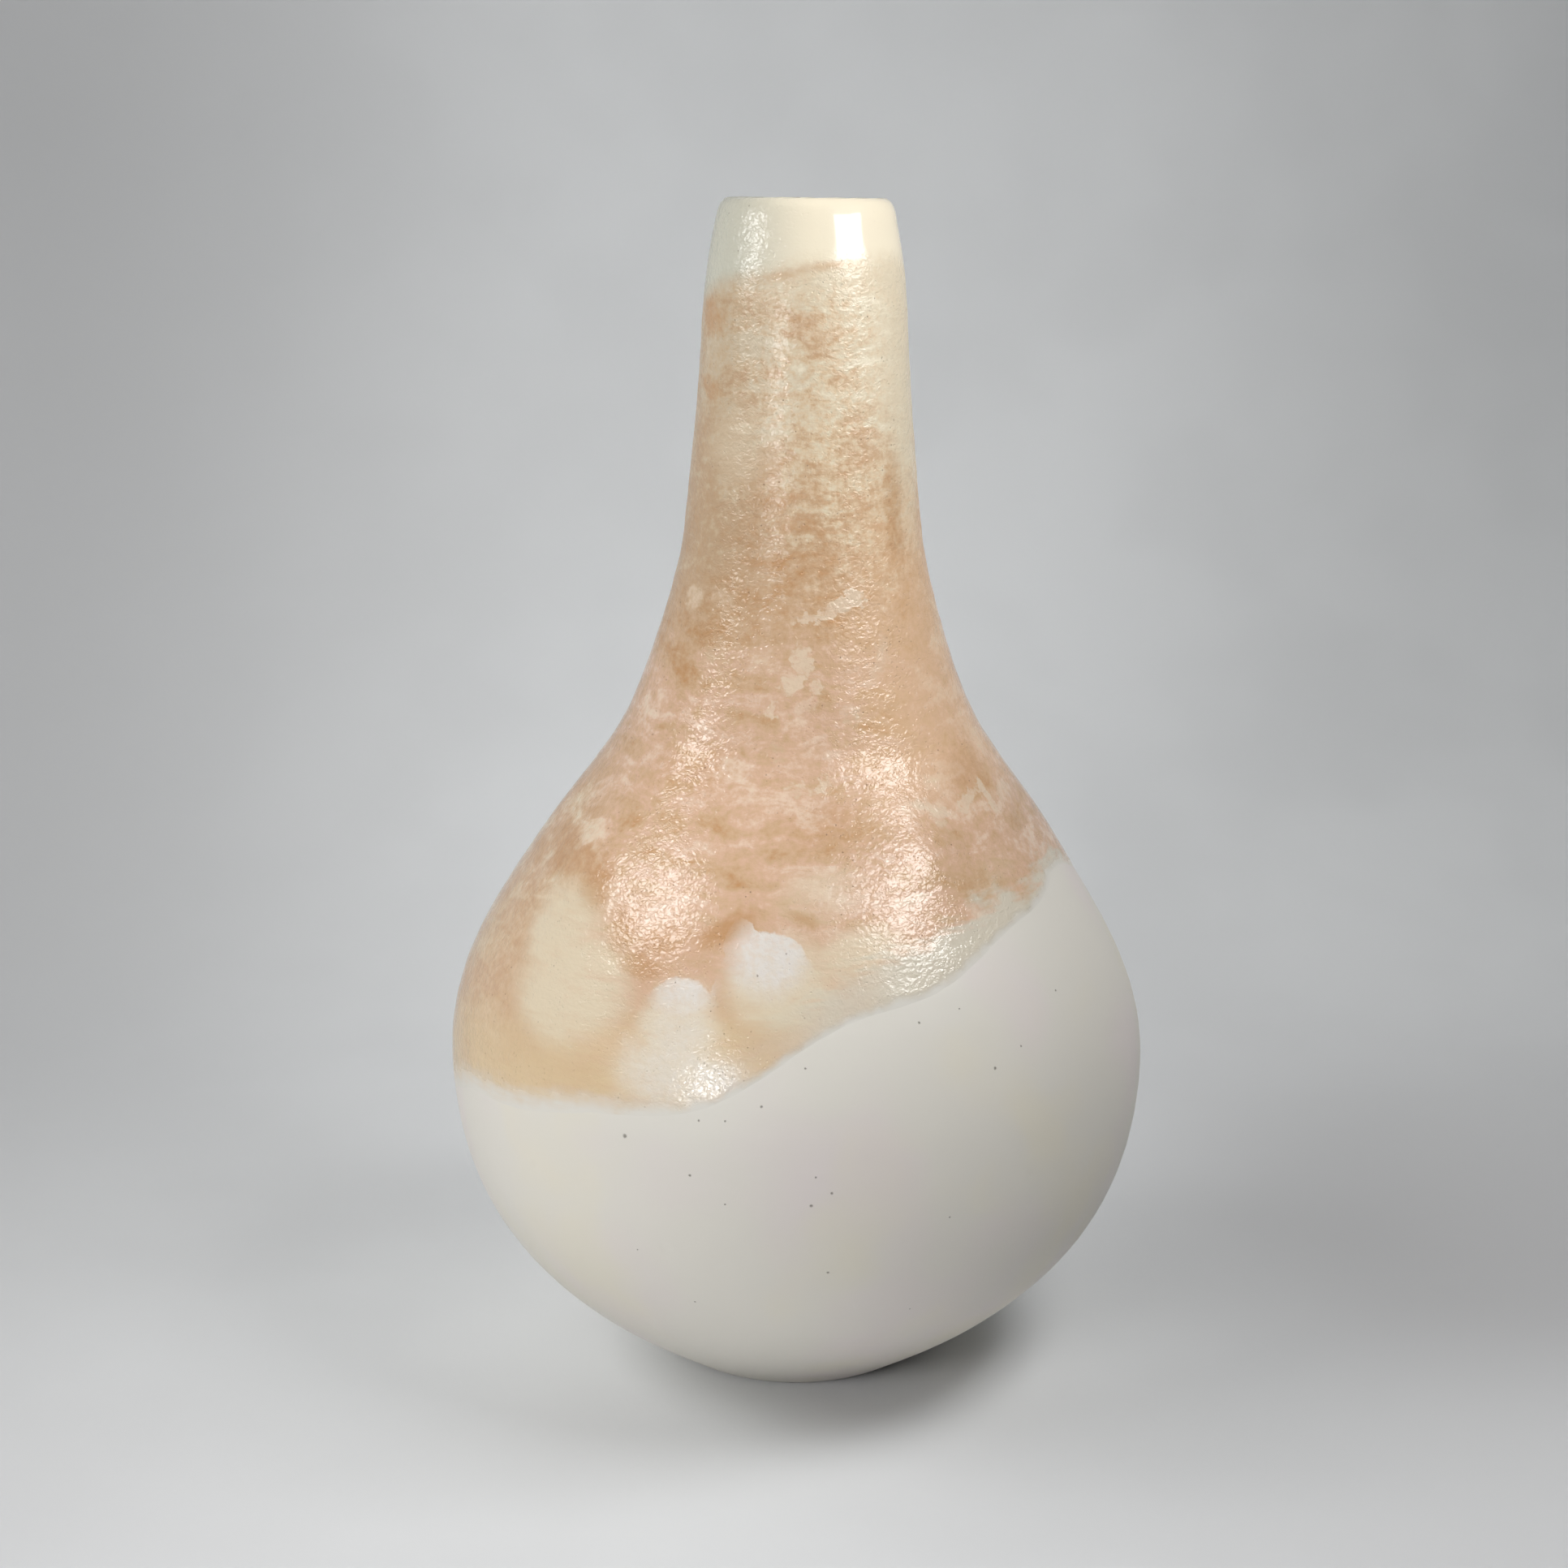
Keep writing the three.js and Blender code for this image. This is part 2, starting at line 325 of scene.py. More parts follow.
def normals_of(points):
    normals = []
    last = len(points) - 1
    for i in range(len(points)):
        along = (points[min(i + 1, last)] - points[max(i - 1, 0)]).normalized()
        normals.append(Vector((along.y, -along.x)))
    return normals


def inside_points(o, lip_top, outside):
    normals = normals_of(outside)
    wall = [p - n * wall_at(o, lip_top, p.y) for p, n in zip(outside, normals)]
    wall.reverse()
    fillet_top = o.floor_top + o.floor_fillet
    kept = [point for point in wall[1:] if point.y > fillet_top]
    run = (kept[-1] - kept[-2]).normalized()
    corner = kept[-1] + run * ((o.floor_top - kept[-1].y) / run.y)
    reach = (corner - kept[-1]).length
    inwards = Vector((-reach, 0.0))
    fillet = quarter(kept[-1], run * reach, corner + inwards, inwards, FILLET_STEPS)
    middle = Vector((0.0, o.floor_top))
    floor = [fillet[-1].lerp(middle, (i + 1) / FLOOR_STEPS) for i in range(FLOOR_STEPS)]
    return kept + fillet + floor


def underside_points(o):
    ring_outer = o.foot_radius - o.foot_edge
    ring_inner = ring_outer - o.ring_width
    recess = Vector((ring_inner - o.recess_round, o.recess_depth))
    middle = Vector((0.0, o.recess_depth))
    points = [middle.lerp(recess, i / RECESS_STEPS) for i in range(RECESS_STEPS + 1)]
    fall = Vector((0.0, -o.recess_depth))
    round_run = Vector((o.recess_round, 0.0))
    points += quarter(recess, round_run, Vector((ring_inner, 0.0)), fall, RING_STEPS)
    for i in range(RING_STEPS):
        points.append(Vector((ring_inner + o.ring_width * (i + 1) / RING_STEPS, 0.0)))
    foot_heading = heading(o.foot_slope) * o.foot_edge
    points += quarter(points[-1], Vector((o.foot_edge, 0.0)), edge_end(o), foot_heading, EDGE_STEPS)
    return points[:-1]


class Wall:
    """The clay's surface from the foot's edge over the lip to the floor, measured along itself."""

    def __init__(self, scene):
        o = scene.vase_outline
        self.outline = o
        self.glaze = scene.vase_glaze
        self.lip_top = o.height - self.glaze.stand_off
        self.outside = outside_points(o, self.lip_top)
        self.points = self.outside + lip_points(o, self.lip_top)
        self.points += inside_points(o, self.lip_top, self.outside)
        self.mouth_place = len(self.outside) - 1
        self.lip_place = self.mouth_place + LIP_STEPS
        self.normals = normals_of(self.points)
        self.places = [0.0]
        for before, after in zip(self.points, self.points[1:]):
            self.places.append(self.places[-1] + (after - before).length)
        self.heights = [point.y for point in self.outside]
        self.lumps = [self.lump(*values) for values in FINGER_LUMPS]

    def spot(self, turn, height):
        """The point on the outside at a turn in degrees and a height in millimetres."""
        return on_turn(math.radians(turn), self.outside_radius(height * MM), height * MM)

    def lump(self, turn, height, spread, swell):
        return self.spot(turn, height), spread * MM, swell * MM

    def at(self, place):
        i = segment(self.places, place)
        share = (place - self.places[i]) / (self.places[i + 1] - self.places[i])
        point = self.points[i].lerp(self.points[i + 1], share)
        normal = self.normals[i].lerp(self.normals[i + 1], share).normalized()
        return point, normal

    def raised_spot(self, turn, height, lift):
        """The same point, but on the wall as the hand has swollen it and under a coat lift thick."""
        place = self.spot(turn, height)
        rise = self.outside_radius((height + 1) * MM) - self.outside_radius((height - 1) * MM)
        normal = Vector((2 * MM, -rise)).normalized()
        outward = on_turn(math.radians(turn), normal.x, normal.y)
        return place + outward * (hand_swell(self, place) + lift)

    def outside_radius(self, height):
        i = segment(self.heights, height)
        low, high = self.outside[i], self.outside[i + 1]
        return low.x + (high.x - low.x) * (height - low.y) / (high.y - low.y)

    def inside_place(self, height):
        i = self.lip_place
        while self.points[i].y > height:
            i += 1
        return self.places[i]


# Marks of the hand, shared by the clay and the glaze that follows it: angle from the front towards
# +X in degrees, height and spread in millimetres, and how far the wall swells there. The square of
# the distance, in spreads, at which a mark ends
LUMP_REACH = 9.0
FINGER_LUMPS = [
    (-24, 97.5, 5.5, 0.27), (-29, 73.5, 6.6, -0.8), (31, 98.0, 7.9, 0.73), (-8, 87.0, 11.6, 0.81),
    (23, 106.4, 5.5, 0.28), (-22, 111.0, 9.2, -0.8), (-11, 94.1, 8.6, 0.38), (-51, 93.7, 10.3, 1.3),
    (43, 102.0, 12.0, -0.91), (16, 109.0, 12.0, -1.11), (21, 79.5, 11.2, 0.47), (70, 96.0, 10.0, -0.5),
    (98, 95.0, 10.0, 0.7), (134, 92.0, 9.5, 1.0), (150, 108.0, 10.0, -0.8), (165, 95.0, 9.0, 0.8),
    (-160, 92.0, 9.5, 0.9), (-140, 107.0, 10.0, -0.8), (-122, 94.0, 9.0, 0.9), (-86, 97.0, 9.0, 0.5),
]

# The slow unevenness of the thrown wall, the rings that the fingers leave, and the heights over
# which both die out above the foot and below the lip
WOBBLE = 0.16 * MM
WOBBLE_SIZE = 22 * MM
RING_PITCH = 5.2 * MM
RING_RISE = 0.018 * MM
FOOT_FADE = 0.02
LIP_FADE = 0.012

# Waves of the dip line: how many round the pot, height in millimetres, degrees of one crest
DIP_WAVES = [(3, 1.7, 50), (6, 1.3, 8), (10, 0.9, 5)]


def bearing(point):
    return math.atan2(point.x, -point.y)


def on_turn(turn, radius, height):
    return Vector((radius * math.sin(turn), -radius * math.cos(turn), height))


def hand_swell(wall, point):
    """How far the thrown wall stands out from its true outline at a point, by the potter's hand."""
    swell = 0.0
    for centre, spread, height in wall.lumps:
        reach = (point - centre).length_squared / (spread * spread)
        if reach < LUMP_REACH:
            swell += height * math.exp(-reach)
    fade = max(min(point.z / FOOT_FADE, (wall.lip_top - point.z) / LIP_FADE, 1.0), 0.0)
    swell += WOBBLE * fade * noise.noise(point / WOBBLE_SIZE)
    rings = math.sin(2 * math.pi * point.z / RING_PITCH + bearing(point))
    return swell + RING_RISE * fade * rings


# Mesh building

def line_of(points, closed=False):
    """A bmesh with nothing but edges from point to point."""
    shape = bmesh.new()
    verts = [shape.verts.new(point) for point in points]
    ends = verts[1:] + verts[:1] if closed else verts[1:]
    edges = [shape.edges.new(pair) for pair in zip(verts, ends)]
    return shape, verts, edges


def turn_round(shape, geometry, segments):
    bmesh.ops.spin(
        shape, geom=geometry, cent=(0, 0, 0), axis=(0, 0, 1), angle=2 * math.pi,
        steps=segments, use_merge=True,
    )


def spun(profile, segments):
    """A bmesh of the profile, given as (radius, height), spun about Z."""
    shape, verts, edges = line_of((0.0, -point.x, point.y) for point in profile)
    turn_round(shape, verts + edges, segments)
    bmesh.ops.remove_doubles(shape, verts=shape.verts[:], dist=1e-6)
    bmesh.ops.recalc_face_normals(shape, faces=shape.faces[:])
    return shape


def smooth_object(shape, name, material):
    """Turns a bmesh into an object that is smooth all over."""
    mesh = bpy.data.meshes.new(name)
    shape.to_mesh(mesh)
    shape.free()
    for polygon in mesh.polygons:
        polygon.use_smooth = True
    mesh.materials.append(material)
    item = bpy.data.objects.new(name, mesh)
    bpy.context.collection.objects.link(item)
    return item


def finished(shape, name, material, node):
    """Turns a bmesh into a piece that rides on the pot's one body and stands for its node."""
    piece = smooth_object(shape, name, material)
    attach(piece, "root")
    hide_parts(node)


def clay_mesh(wall):
    lip_start = len(wall.outside)
    inside_start = lip_start + 2 * LIP_STEPS
    inside = wall.points[inside_start:]
    profile = underside_points(wall.outline) + wall.outside[::OUTSIDE_STRIDE]
    profile += wall.points[lip_start:inside_start]
    profile += inside[:-FLOOR_POINTS:INSIDE_STRIDE] + inside[-FLOOR_POINTS:]
    shape = spun(profile, SEGMENTS)
    shape.normal_update()
    half_wall = wall.outline.lip_wall / 2
    moves = []
    for vert in shape.verts:
        radius = math.hypot(vert.co.x, vert.co.y)
        on_outside = vert.co.z > 0.0 and radius > wall.outside_radius(vert.co.z) - half_wall
        moves.append(vert.normal * hand_swell(wall, vert.co) if on_outside else Vector())
    for vert, move in zip(shape.verts, moves):
        vert.co += move
    return shape


def dip_level(glaze, turn, radius):
    waves = sum(
        height * MM * math.cos(count * (turn - math.radians(crest)))
        for count, height, crest in DIP_WAVES
    )
    return glaze.dip_height + radius * math.sin(turn) * math.tan(glaze.dip_slant) + waves


def dip_place(wall, turn):
    """Place along the wall where the dip line crosses it at that angle."""
    rise = [point.y - dip_level(wall.glaze, turn, point.x) for point in wall.outside]
    i = next(i for i, value in enumerate(rise) if value > 0.0 and i > 0)
    share = rise[i - 1] / (rise[i - 1] - rise[i])
    return wall.places[i - 1] + (wall.places[i] - wall.places[i - 1]) * share


def glaze_stand_off(glaze, run, rest):
    """Height of the glaze above the clay at a distance from its lower edge and from its upper end."""
    start = min(max(run / glaze.edge_width, 0.0), 1.0)
    grow = min(max(run / glaze.feather, 0.0), 1.0)
    lip = (glaze.sink + glaze.edge) * math.sin(start * math.pi / 2) - glaze.sink
    body = (glaze.stand_off - glaze.edge) * grow * grow * (3.0 - 2.0 * grow)
    tail = min(max(rest / TAIL, 0.0), 1.0)
    return (lip + body) * tail + (glaze.liner_stand_off - TUCK) * (1.0 - tail)


def glaze_mesh(wall):
    """The dipped coat: a plain ring is spun first, and each of its rows is then laid on the wall."""
    glaze = wall.glaze
    rows = range(OUTER_ROWS + HIDDEN_ROWS)
    shape, verts, edges = line_of(((0.0, -1.0, float(row)) for row in rows), closed=True)
    turn_round(shape, verts + edges, SEGMENTS)
    distance = shape.verts.layers.float.new("run")
    end = wall.inside_place(wall.lip_top - glaze.mouth_depth)
    starts = {}
    for vert in shape.verts:
        turn = bearing(vert.co)
        key = round(turn * SEGMENTS / (2 * math.pi)) % SEGMENTS
        if key not in starts:
            starts[key] = dip_place(wall, turn)
        row = round(vert.co.z)
        hidden = row >= OUTER_ROWS
        share = row / (OUTER_ROWS - 1)
        if hidden:
            share = 1.0 - (row - OUTER_ROWS + 1) / (HIDDEN_ROWS + 1)
        place = starts[key] + (end - starts[key]) * share
        point, normal = wall.at(place)
        run = place - starts[key]
        rise = -glaze.sink - BURY * math.sin(share * math.pi)
        if not hidden:
            rise = glaze_stand_off(glaze, run, end - place)
        vert.co = on_turn(turn, point.x, point.y)
        outward = on_turn(turn, normal.x, normal.y)
        if place < wall.places[wall.mouth_place]:
            rise += hand_swell(wall, vert.co)
            if not hidden:
                cover = min(run / (3 * glaze.edge_width), 1.0)
                rise += UNEVEN * cover * noise.noise(vert.co / UNEVEN_SIZE)
        vert.co += outward * rise
        vert[distance] = run
    bmesh.ops.recalc_face_normals(shape, faces=shape.faces[:])
    return shape


def liner_mesh(wall):
    glaze = wall.glaze
    start = wall.inside_place(wall.lip_top - glaze.mouth_depth + LINER_LAP)
    first = bisect_right(wall.places, start)
    points = wall.points[first:]
    normals = wall.normals[first:]
    inner = [p + n * glaze.liner_stand_off for p, n in zip(points, normals)]
    outer = [p - n * glaze.sink for p, n in zip(points, normals)]
    inner[-1].x = 0.0
    outer[-1].x = 0.0
    outer.reverse()
    return spun(outer + inner, LINER_SEGMENTS)


# Shader maths

def linear(values):
    """A colour written as seen on screen, turned into the linear light a shader works in."""
    def channel(value):
        return value / 12.92 if value <= 0.04045 else ((value + 0.055) / 1.055) ** 2.4
    return tuple(channel(value) for value in values) + (1.0,)


def maths_pair(operation):
    """A Math node as an operator, and its reflected form."""
    def forward(self, other):
        return self.maths(operation, self, other)

    def reflected(self, other):
        return self.maths(operation, other, self)
    return forward, reflected


class Wire:
    """A node's output, which adds Math nodes where it stands in a sum."""

    def __init__(self, shader, socket):
        self.shader = shader
        self.socket = socket

    def maths(self, operation, first, second=0.0):
        return self.shader.node("ShaderNodeMath", {"operation": operation}, {0: first, 1: second})

    __add__, __radd__ = maths_pair("ADD")
    __sub__, __rsub__ = maths_pair("SUBTRACT")
    __mul__, __rmul__ = maths_pair("MULTIPLY")

    def __abs__(self):
        return self.maths("ABSOLUTE", self)

    def larger(self, other):
        return self.maths("MAXIMUM", self, other)

    def smaller(self, other):
        return self.maths("MINIMUM", self, other)

    def ramped(self, low, high, out_low=0.0, out_high=1.0):
        """Eases from out_low at low to out_high at high."""
        settings = {"interpolation_type": "SMOOTHSTEP"}
        inputs = {"Value": self, "From Min": low, "From Max": high}
        inputs.update({"To Min": out_low, "To Max": out_high})
        return self.shader.node("ShaderNodeMapRange", settings, inputs)

    def clipped(self):
        return self.ramped(0.0, 1.0)


class Shader:
    """The node tree of a material or of the room, written as expressions. Patterns are sized in
    millimetres, and a tone is a wire or a colour as seen on screen."""

    def __init__(self, owner):
        owner.use_nodes = True
        self.owner = owner
        self.tree = owner.node_tree
        self.tree.nodes.clear()

    def node(self, kind, settings, inputs, output=0):
        node = self.tree.nodes.new(kind)
        for key, value in settings.items():
            if key == "stops":
                self.set_stops(node.color_ramp, value)
            else:
                setattr(node, key, value)
        for key, value in inputs.items():
            if isinstance(value, Wire):
                self.tree.links.new(value.socket, node.inputs[key])
            else:
                node.inputs[key].default_value = value
        return Wire(self, node.outputs[output]) if len(node.outputs) else node

    def set_stops(self, ramp, stops):
        while len(ramp.elements) < len(stops):
            ramp.elements.new(1.0)
        for element, (place, tone) in zip(ramp.elements, stops):
            element.position = place
            element.color = linear(tone)

    def point(self):
        return self.node("ShaderNodeTexCoord", {}, {}, "Object")

    def parts(self, vector):
        split = self.node("ShaderNodeSeparateXYZ", {}, {0: vector})
        outputs = split.socket.node.outputs
        return [Wire(self, outputs[i]) for i in range(3)]

    def vectors(self, operation, first, second, output=0):
        settings = {"operation": operation}
        return self.node("ShaderNodeVectorMath", settings, {0: first, 1: second}, output)

    def noise(self, vector, size, detail=2, roughness=0.5, distortion=0.0, output=0):
        inputs = {"Vector": vector, "Scale": 1.0 / (size * MM), "Detail": detail}
        inputs.update({"Roughness": roughness, "Distortion": distortion})
        return self.node("ShaderNodeTexNoise", {"noise_dimensions": "3D"}, inputs, output)

    def ripples(self, vector, size, detail=2, roughness=0.5, distortion=0.0):
        """Noise that swings about 0."""
        return self.noise(vector, size, detail, roughness, distortion) - 0.5

    def cells(self, vector, size, feature="F1"):
        """Distance to the nearest of many scattered points, in shares of size."""
        inputs = {"Vector": vector, "Scale": 1.0 / (size * MM)}
        return self.node("ShaderNodeTexVoronoi", {"feature": feature}, inputs, "Distance")

    def squeezed(self, vector, scale):
        return self.vectors("MULTIPLY", vector, scale)

    def wandering(self, vector, size, reach, detail=2):
        """The vector moved about by noise, by up to half of reach each way."""
        drift = self.noise(vector, size, detail, output="Color")
        centred = self.vectors("SUBTRACT", drift, (0.5, 0.5, 0.5))
        return self.vectors("ADD", vector, self.squeezed(centred, (reach * MM,) * 3))

    def mixed(self, share, first, second):
        tones = [tone if isinstance(tone, Wire) else linear(tone) for tone in (first, second)]
        settings = {"data_type": "RGBA", "clamp_factor": True}
        return self.node("ShaderNodeMix", settings, {0: share, 6: tones[0], 7: tones[1]}, 2)

    def ramp(self, value, *stops):
        return self.node("ShaderNodeValToRGB", {"stops": stops}, {0: value})

    def finish(self, height, **inputs):
        """The Principled shader over a bump of that height in millimetres, joined to the output."""
        bump = {"Height": height, "Distance": 1.0 * MM, "Strength": 1.0}
        inputs["Normal"] = self.node("ShaderNodeBump", {}, bump)
        named = {key.replace("_", " "): value for key, value in inputs.items()}
        self.surface = self.node("ShaderNodeBsdfPrincipled", {}, named)
        self.output = self.node("ShaderNodeOutputMaterial", {}, {"Surface": self.surface})
        return self.owner

    def clear_to_camera(self, far):
        """Clears the back of a single sheet for the camera, and its face where far is 1, so that
        views from behind it are open and it fades into the room."""
        back = self.node("ShaderNodeNewGeometry", {}, {}, "Backfacing")
        camera = self.node("ShaderNodeLightPath", {}, {}, "Is Camera Ray")
        clear = self.node("ShaderNodeBsdfTransparent", {}, {})
        share = back.larger(far) * camera
        sheet = self.node("ShaderNodeMixShader", {}, {0: share, 1: self.surface, 2: clear})
        self.tree.links.new(sheet.socket, self.output.inputs["Surface"])
        return self.owner


# Places where the glaze differs, on the side that the photograph shows and then round the pot: turn,
# height, half width, half height, tilt, softness, strength. First where it fired pale in small flecks
FLECKS = [
    (19, 136.4, 3.6, 1.7, 18, 0.7, 0.85), (7, 134.2, 4.6, 1, 14, 0.8, 0.75),
    (-1, 127.6, 1.7, 2.4, 30, 0.8, 0.8), (-5, 124.2, 2.4, 1.4, 35, 0.8, 0.8),
    (4, 123.2, 1.3, 1.9, -20, 0.8, 0.65), (-12, 119.4, 1.3, 1.2, 0, 0.9, 0.65),
    (1, 120, 2.6, 1.3, 10, 1, 0.45), (-53, 136, 3.2, 2.6, 0, 1.2, 0.55),
    (-34, 126.5, 4.4, 3.2, 0, 1.3, 0.35), (-26, 132, 3, 2.2, 30, 1.3, 0.35),
    (30, 127, 1.6, 5.5, -20, 1.2, 0.45), (-36, 136.4, 3.4, 1.8, 10, 1.2, 0.4),
    (17, 118.6, 2, 2.4, -30, 1, 0.45), (38, 102.9, 1.3, 3, 30, 1, 0.45),
    (52, 104.4, 4.4, 0.9, 20, 1, 0.6), (72, 103, 6, 1.1, -8, 1, 0.5), (61, 104, 1.2, 4, 25, 1, 0.75),
    (38, 104, 5, 1, -14, 1, 0.65), (-1, 109, 2.2, 1, -10, 1, 0.6), (6, 109.4, 2.4, 0.9, 15, 1, 0.6),
    (-2, 108, 3.4, 0.9, 20, 1, 0.4), (-7, 113.4, 1.2, 2.4, 20, 1, 0.35), (150, 121, 8, 2, 20, 0.8, 0.75),
    (-104, 118, 5, 2.2, -25, 0.8, 0.75), (-150, 138, 3.6, 2, 10, 1, 0.65),
    (112, 131, 4.2, 1.6, -20, 0.9, 0.65),
]

# Where it is pale and thick, in broad soft places
PALE_PATCHES = [
    (-50, 84, 8.5, 8.5, 0, 1.1, 0.85), (-43, 77, 11.5, 8.5, 0, 1.2, 0.95), (-20, 75, 7, 6.5, 0, 1, 0.85),
    (-20, 68, 10, 5.5, 0, 1.2, 0.8), (-3, 81.5, 8.5, 6.5, 0, 1.2, 0.9), (9, 85, 9, 3.2, 10, 1.1, 0.7),
    (4, 93, 7, 4, 10, 1.4, 0.45), (49, 93.5, 6, 3, 15, 1.3, 0.25), (-35, 161, 6.5, 7, 0, 1.4, 0.45),
    (66, 172, 6, 24, 0, 1.3, 0.75), (172, 92, 9, 9, 8, 1, 0.85), (-128, 80, 10, 9, -10, 1, 0.85),
    (118, 98, 6, 7, 10, 1.1, 0.7), (-95, 76, 8, 8, 0, 1.2, 0.6), (170, 168, 7, 12, 0, 1.4, 0.6),
    (-100, 160, 6, 9, 0, 1.4, 0.5),
]

# Where the white slip shows through, softly at the sides and below
MILK_PATCHES = [
    (-5.6, 85.8, 5.6, 5.2, 0, 1.2, 1.05), (-20, 79.4, 4.6, 3, 0, 1.2, 0.85),
    (-20, 74, 5, 6, 0, 1.3, 0.45), (-21, 68, 8, 5, 0, 1.1, 0.5), (-13, 66, 6.5, 3.8, 8, 1.2, 0.6),
    (157, 92, 6, 5, 0, 1.1, 1), (-124, 82, 7, 4.6, 0, 1.1, 0.95),
]

# The crisp torn tops that close those places off above
TORN_TOPS = [
    (-6, 79.6, 8.2, 9.8, 0, 0.05, 1), (-9.4, 84.8, 3.2, 6.2, 16, 0.06, 1),
    (-20, 70, 9.5, 11.8, 0, 0.05, 1), (-17, 64, 16, 10, 0, 0.7, 1), (157, 88, 10, 7.4, 0, 0.06, 1),
    (-124, 77, 12, 8, 0, 0.06, 1),
]

# Where it is the richest orange tan
EMBER_PATCHES = [
    (-60, 94, 8, 3, -8, 1.2, 0.65), (-45, 91.5, 3.6, 5, 20, 1.2, 0.7), (-35, 85.5, 2.8, 5.4, 0, 1.2, 0.5),
    (-52, 94.5, 6, 2.4, 12, 1.1, 0.6), (57, 108, 6, 4.4, 0, 1.2, 0.42), (8, 103, 5, 4, 0, 1.2, 0.4),
    (-33, 110, 7, 3.6, 0, 1.3, 0.35), (27, 110, 6, 4, 0, 1.3, 0.3), (-29, 82.5, 5, 2.2, 0, 1.2, 0.6),
    (-15, 88.4, 4.8, 2, 30, 1.2, 0.75), (0, 90.4, 3, 1.1, -24, 1, 0.75),
    (-26, 86.5, 4, 2.4, 0, 1.2, 0.55), (-12, 78, 2.2, 4, 20, 1.3, 0.4), (9, 102, 8, 4, 0, 1.4, 0.35),
    (-64, 181, 4, 2.8, 0, 1.2, 0.55), (-62, 170, 4.4, 1.8, -10, 1.2, 0.45),
    (50, 151, 2.4, 9, 0, 1.4, 0.55), (120, 112, 9, 5, 0, 1.3, 0.6), (-165, 106, 10, 5, 0, 1.3, 0.6),
    (-108, 96, 9, 4, 0, 1.2, 0.6), (150, 88, 4, 6, 0, 1.2, 0.55),
]

# Small iron specks in the white slip: turn in degrees, height and radius in millimetres
SPECK_LIFT = 0.3 * MM
GLAZE_SPECKS = [
    (-9, 87.5, 0.26), (-7.7, 86.2, 0.28), (-7.1, 85.9, 0.24), (-6, 85.9, 0.3), (-6.6, 85.7, 0.2),
    (-6, 83.1, 0.18), (-7.2, 82.2, 0.3), (-30, 99, 0.2), (12, 99.5, 0.2),
]

# Iron specks that show in the bare clay: turn in degrees, height and radius in millimetres
CLAY_SPECKS = [
    (-26.7, 57.2, 0.42), (-16.1, 52.4, 0.22), (-14.9, 61.3, 0.22), (-10.9, 61.6, 0.2), (-10.8, 48.1, 0.2),
    (5.1, 50.5, 0.26), (2.1, 48.4, 0.3), (2.7, 53.2, 0.18), (1, 69.8, 0.2), (-5.5, 64.1, 0.25),
    (27.5, 76.6, 0.18), (19.8, 75.4, 0.24), (37.9, 69.7, 0.24), (32.1, 67.4, 0.3), (49.6, 75.9, 0.24),
    (20.5, 26.6, 0.18), (5, 36.2, 0.25), (-17.5, 28.3, 0.2), (-26, 37.4, 0.18), (23.9, 44.5, 0.2),
]


def strongest(masks):
    return reduce(Wire.larger, masks)


def patch(shader, point, wall, turn, height, width, tall, tilt, soft, strength):
    """A mask that has its strength inside an oval on the pot's outside and fades to 0 at its edge."""
    inputs = {
        "Vector": point,
        "Location": wall.spot(turn, height),
        "Rotation": (0.0, math.radians(-tilt), math.radians(turn)),
        "Scale": (width * MM, max(width, tall) * 1.5 * MM, tall * MM),
    }
    local = shader.node("ShaderNodeMapping", {"vector_type": "TEXTURE"}, inputs)
    reach = shader.vectors("LENGTH", local, (0.0, 0.0, 0.0), "Value")
    return reach.ramped(1.0 + soft / 2, 1.0 - soft / 2) * strength


def dots(shader, point, wall, specks, lift):
    """Small round marks on the pot's outside, under a coat of that lift."""
    masks = []
    for turn, height, radius in specks:
        away = shader.vectors("DISTANCE", point, wall.raised_spot(turn, height, lift), "Value")
        masks.append(away.ramped(radius * 1.15 * MM, radius * 0.35 * MM))
    return strongest(masks)


